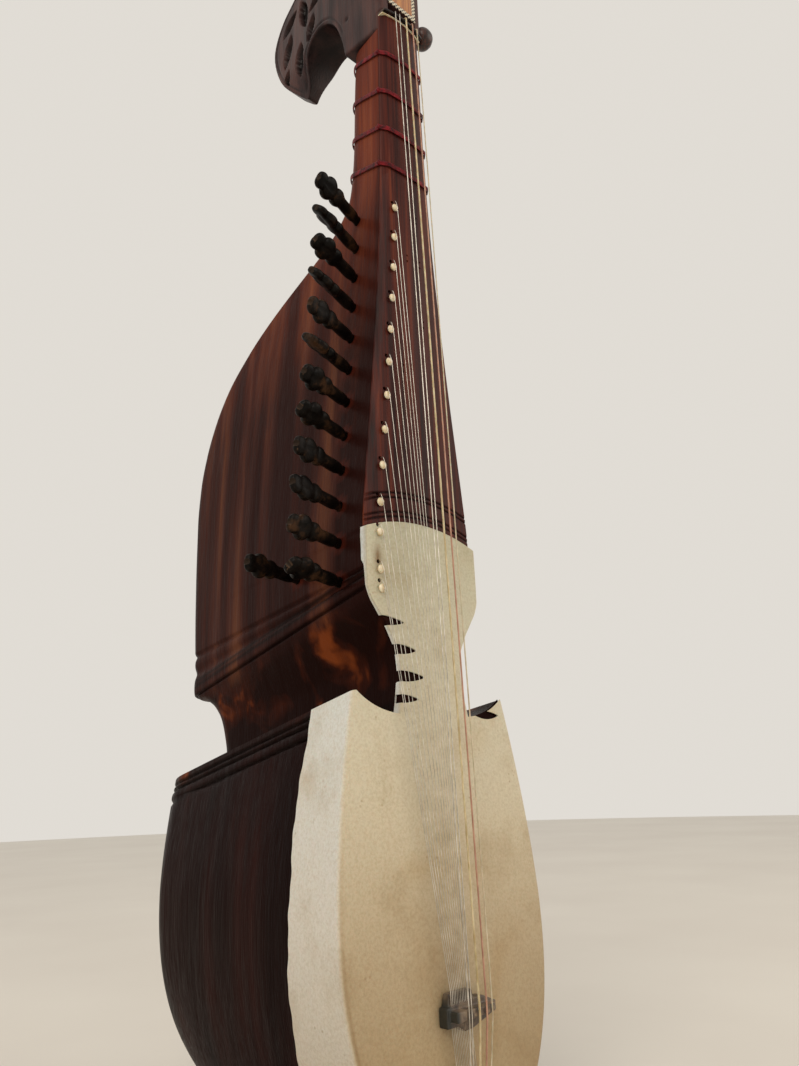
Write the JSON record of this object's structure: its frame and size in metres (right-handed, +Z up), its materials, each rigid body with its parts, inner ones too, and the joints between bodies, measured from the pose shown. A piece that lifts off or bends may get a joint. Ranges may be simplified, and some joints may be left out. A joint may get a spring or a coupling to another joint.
{
  "type": "rubab lute",
  "caption": "Deep waisted lute with a rawhide skin over its lower half, tied frets, side pegs for sympathetic strings and a carved headstock that hooks back",
  "frame": {"origin": "middle of the flat at the bottom end of the bowl", "axes": "+Z runs up the neck to the head, -Y is the playing face with the strings, +X is on the right of someone who faces the strings"},
  "size_m": [0.1688, 0.2705, 0.8802],
  "materials": {
    "carved_wood": "carved walnut or mulberry, dark red-brown varnish, near black on the lower bowl",
    "board_wood": "dark red-brown polished wood",
    "head_wood": "purple-brown varnished carved wood",
    "dark_wood": "near-black turned and carved wood, satin",
    "rawhide": "scraped cream rawhide, glued, matt with stains",
    "bone": "polished bone",
    "horn": "worn grey-brown horn",
    "crimson_gut": "dark crimson tied cord",
    "gut": "pale gut or nylon string",
    "steel": "plain steel wire"
  },
  "bodies": {
    "instrument": {"body": "carved_wood", "fingerboard": "board_wood", "skin": "rawhide", "headstock": "head_wood", "nut": "bone", "bridge": "horn", "tailpiece": "dark_wood", "long_string_1": "steel", "long_string_2": "steel", "long_string_3": "gut", "long_string_4": "gut", "long_string_5": "gut", "bone_saddle_01": "bone", "bone_saddle_02": "bone", "bone_saddle_03": "bone", "bone_saddle_04": "bone", "bone_saddle_05": "bone", "bone_saddle_06": "bone", "bone_saddle_07": "bone", "bone_saddle_08": "bone", "bone_saddle_09": "bone", "bone_saddle_10": "bone", "bone_saddle_11": "bone", "bone_saddle_12": "bone", "bone_saddle_13": "bone", "sympathetic_string_01": "steel", "sympathetic_string_02": "steel", "sympathetic_string_03": "steel", "sympathetic_string_04": "steel", "sympathetic_string_05": "steel", "sympathetic_string_06": "steel", "sympathetic_string_07": "steel", "sympathetic_string_08": "steel", "sympathetic_string_09": "steel", "sympathetic_string_10": "steel", "sympathetic_string_11": "steel", "sympathetic_string_12": "steel", "sympathetic_string_13": "steel"},
    "fret_1": {"fret_1": "crimson_gut"},
    "fret_2": {"fret_2": "crimson_gut"},
    "fret_3": {"fret_3": "crimson_gut"},
    "fret_4": {"fret_4": "crimson_gut"},
    "long_peg_1": {"long_peg_1": "dark_wood"},
    "long_peg_2": {"long_peg_2": "dark_wood"},
    "long_peg_3": {"long_peg_3": "dark_wood"},
    "long_peg_4": {"long_peg_4": "dark_wood"},
    "long_peg_5": {"long_peg_5": "dark_wood"},
    "sympathetic_peg_01": {"sympathetic_peg_01": "dark_wood"},
    "sympathetic_peg_02": {"sympathetic_peg_02": "dark_wood"},
    "sympathetic_peg_03": {"sympathetic_peg_03": "dark_wood"},
    "sympathetic_peg_04": {"sympathetic_peg_04": "dark_wood"},
    "sympathetic_peg_05": {"sympathetic_peg_05": "dark_wood"},
    "sympathetic_peg_06": {"sympathetic_peg_06": "dark_wood"},
    "sympathetic_peg_07": {"sympathetic_peg_07": "dark_wood"},
    "sympathetic_peg_08": {"sympathetic_peg_08": "dark_wood"},
    "sympathetic_peg_09": {"sympathetic_peg_09": "dark_wood"},
    "sympathetic_peg_10": {"sympathetic_peg_10": "dark_wood"},
    "sympathetic_peg_11": {"sympathetic_peg_11": "dark_wood"},
    "sympathetic_peg_12": {"sympathetic_peg_12": "dark_wood"},
    "sympathetic_peg_13": {"sympathetic_peg_13": "dark_wood"}
  },
  "joints": [
    {"name": "fret_1_slide", "type": "slide", "parent": "instrument", "child": "fret_1", "axis": [0, 0, 1], "range_m": [-0.003, 0.003]},
    {"name": "fret_2_slide", "type": "slide", "parent": "instrument", "child": "fret_2", "axis": [0, 0, 1], "range_m": [-0.003, 0.003]},
    {"name": "fret_3_slide", "type": "slide", "parent": "instrument", "child": "fret_3", "axis": [0, 0, 1], "range_m": [-0.003, 0.003]},
    {"name": "fret_4_slide", "type": "slide", "parent": "instrument", "child": "fret_4", "axis": [0, 0, 1], "range_m": [-0.003, 0.003]},
    {"name": "long_peg_1_turn", "type": "hinge", "parent": "instrument", "child": "long_peg_1", "pos_m": [0, -0.074, 0.762], "axis": [1, 0, 0], "continuous": true},
    {"name": "long_peg_2_turn", "type": "hinge", "parent": "instrument", "child": "long_peg_2", "pos_m": [0, -0.074, 0.78], "axis": [1, 0, 0], "continuous": true},
    {"name": "long_peg_3_turn", "type": "hinge", "parent": "instrument", "child": "long_peg_3", "pos_m": [0, -0.074, 0.8], "axis": [1, 0, 0], "continuous": true},
    {"name": "long_peg_4_turn", "type": "hinge", "parent": "instrument", "child": "long_peg_4", "pos_m": [0, -0.074, 0.82], "axis": [1, 0, 0], "continuous": true},
    {"name": "long_peg_5_turn", "type": "hinge", "parent": "instrument", "child": "long_peg_5", "pos_m": [0, -0.074, 0.842], "axis": [1, 0, 0], "continuous": true},
    {"name": "sympathetic_peg_01_turn", "type": "hinge", "parent": "instrument", "child": "sympathetic_peg_01", "pos_m": [-0.02072, -0.06, 0.57], "axis": [-0.9432, -0.3322, 0], "continuous": true},
    {"name": "sympathetic_peg_02_turn", "type": "hinge", "parent": "instrument", "child": "sympathetic_peg_02", "pos_m": [-0.0221, -0.06, 0.5465], "axis": [-0.9432, -0.3322, 0], "continuous": true},
    {"name": "sympathetic_peg_03_turn", "type": "hinge", "parent": "instrument", "child": "sympathetic_peg_03", "pos_m": [-0.02375, -0.06, 0.523], "axis": [-0.9432, -0.3322, 0], "continuous": true},
    {"name": "sympathetic_peg_04_turn", "type": "hinge", "parent": "instrument", "child": "sympathetic_peg_04", "pos_m": [-0.02571, -0.06, 0.4995], "axis": [-0.9432, -0.3322, 0], "continuous": true},
    {"name": "sympathetic_peg_05_turn", "type": "hinge", "parent": "instrument", "child": "sympathetic_peg_05", "pos_m": [-0.02788, -0.06, 0.476], "axis": [-0.9432, -0.3322, 0], "continuous": true},
    {"name": "sympathetic_peg_06_turn", "type": "hinge", "parent": "instrument", "child": "sympathetic_peg_06", "pos_m": [-0.03016, -0.06, 0.4525], "axis": [-0.9432, -0.3322, 0], "continuous": true},
    {"name": "sympathetic_peg_07_turn", "type": "hinge", "parent": "instrument", "child": "sympathetic_peg_07", "pos_m": [-0.03261, -0.06, 0.429], "axis": [-0.9432, -0.3322, 0], "continuous": true},
    {"name": "sympathetic_peg_08_turn", "type": "hinge", "parent": "instrument", "child": "sympathetic_peg_08", "pos_m": [-0.03528, -0.06, 0.4055], "axis": [-0.9432, -0.3322, 0], "continuous": true},
    {"name": "sympathetic_peg_09_turn", "type": "hinge", "parent": "instrument", "child": "sympathetic_peg_09", "pos_m": [-0.03794, -0.06, 0.382], "axis": [-0.9432, -0.3322, 0], "continuous": true},
    {"name": "sympathetic_peg_10_turn", "type": "hinge", "parent": "instrument", "child": "sympathetic_peg_10", "pos_m": [-0.04037, -0.06, 0.3585], "axis": [-0.9432, -0.3322, 0], "continuous": true},
    {"name": "sympathetic_peg_11_turn", "type": "hinge", "parent": "instrument", "child": "sympathetic_peg_11", "pos_m": [-0.04201, -0.06, 0.335], "axis": [-0.9432, -0.3322, 0], "continuous": true},
    {"name": "sympathetic_peg_12_turn", "type": "hinge", "parent": "instrument", "child": "sympathetic_peg_12", "pos_m": [-0.0423, -0.06, 0.3115], "axis": [-0.9432, -0.3322, 0], "continuous": true},
    {"name": "sympathetic_peg_13_turn", "type": "hinge", "parent": "instrument", "child": "sympathetic_peg_13", "pos_m": [-0.03805, -0.014, 0.323], "axis": [-0.9432, -0.3322, 0], "continuous": true}
  ]
}
